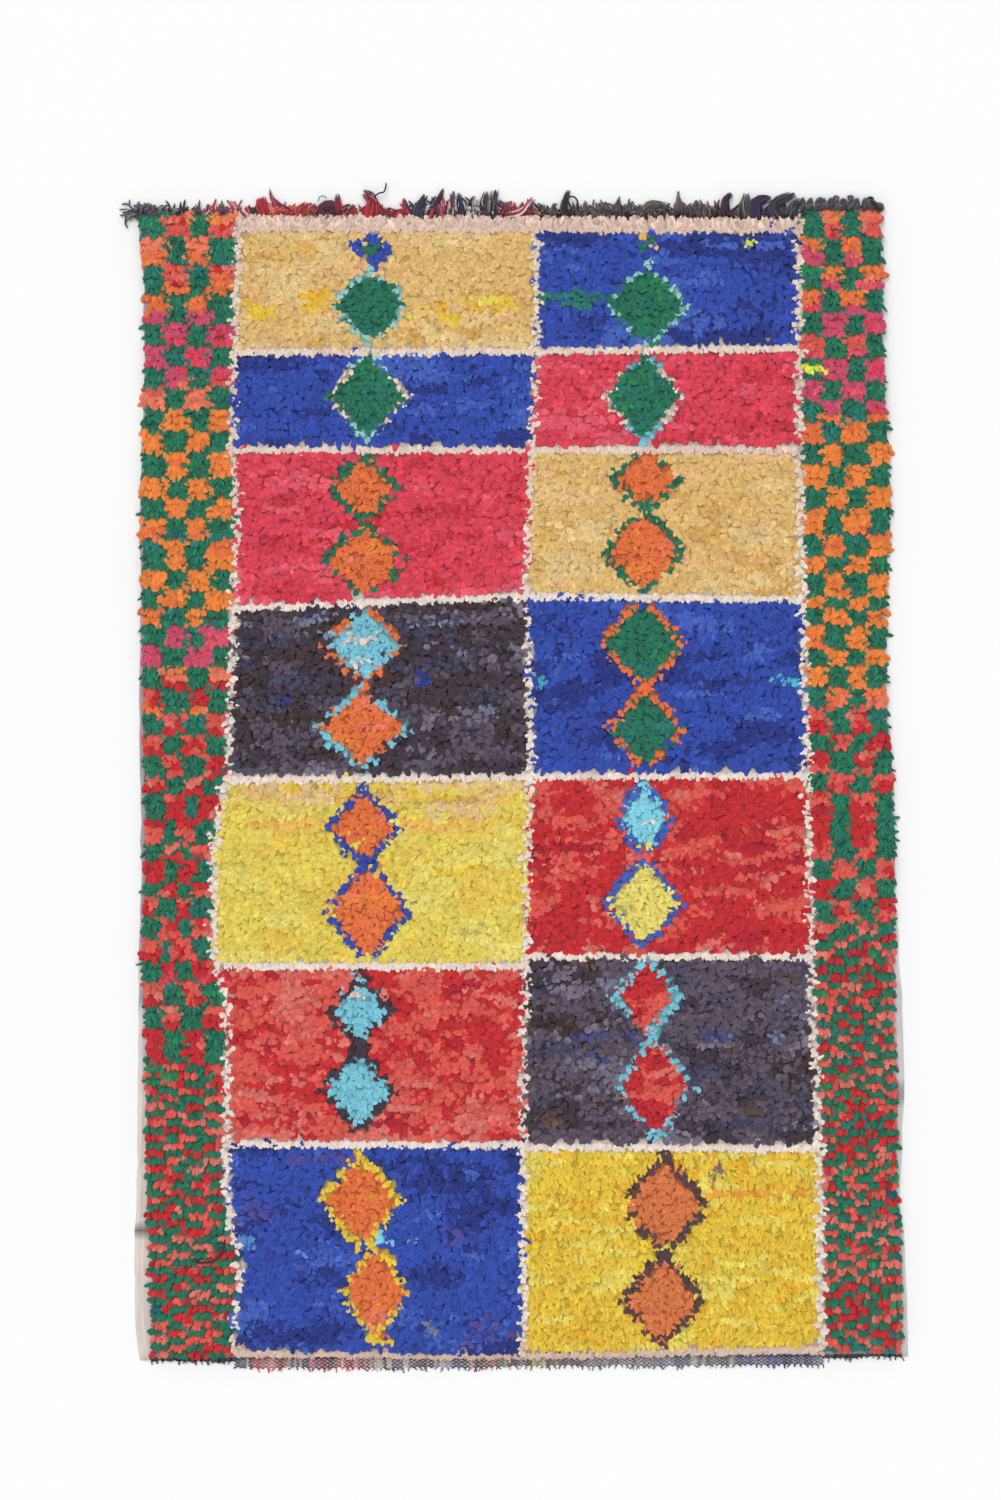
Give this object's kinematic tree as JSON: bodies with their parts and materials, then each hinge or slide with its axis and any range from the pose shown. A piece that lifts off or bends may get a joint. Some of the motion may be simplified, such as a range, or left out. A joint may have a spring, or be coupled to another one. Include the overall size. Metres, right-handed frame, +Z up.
{
  "type": "boucherouite rug",
  "caption": "Flat rectangular rag rug with a lumpy knotted pile in a panelled lozenge pattern and a warp fringe at each end.",
  "frame": {"origin": "on the floor, under the middle of the whole rug, fringes included", "axes": "+Z up, +Y along the rug's length towards the end with the long fringe, +X to the right of that"},
  "size_m": [1.5561, 2.375, 0.0243],
  "materials": {
    "rag_pile": "matte cut rag strips in many colours",
    "warp_cords": "matte wool and cotton cords, mostly dark",
    "warp_net": "matte netted warp yarns in mixed colours"
  },
  "bodies": {
    "root": {"rug_body": "rag_pile", "fringe_top": "warp_cords", "fringe_bottom": "warp_net"}
  },
  "joints": []
}
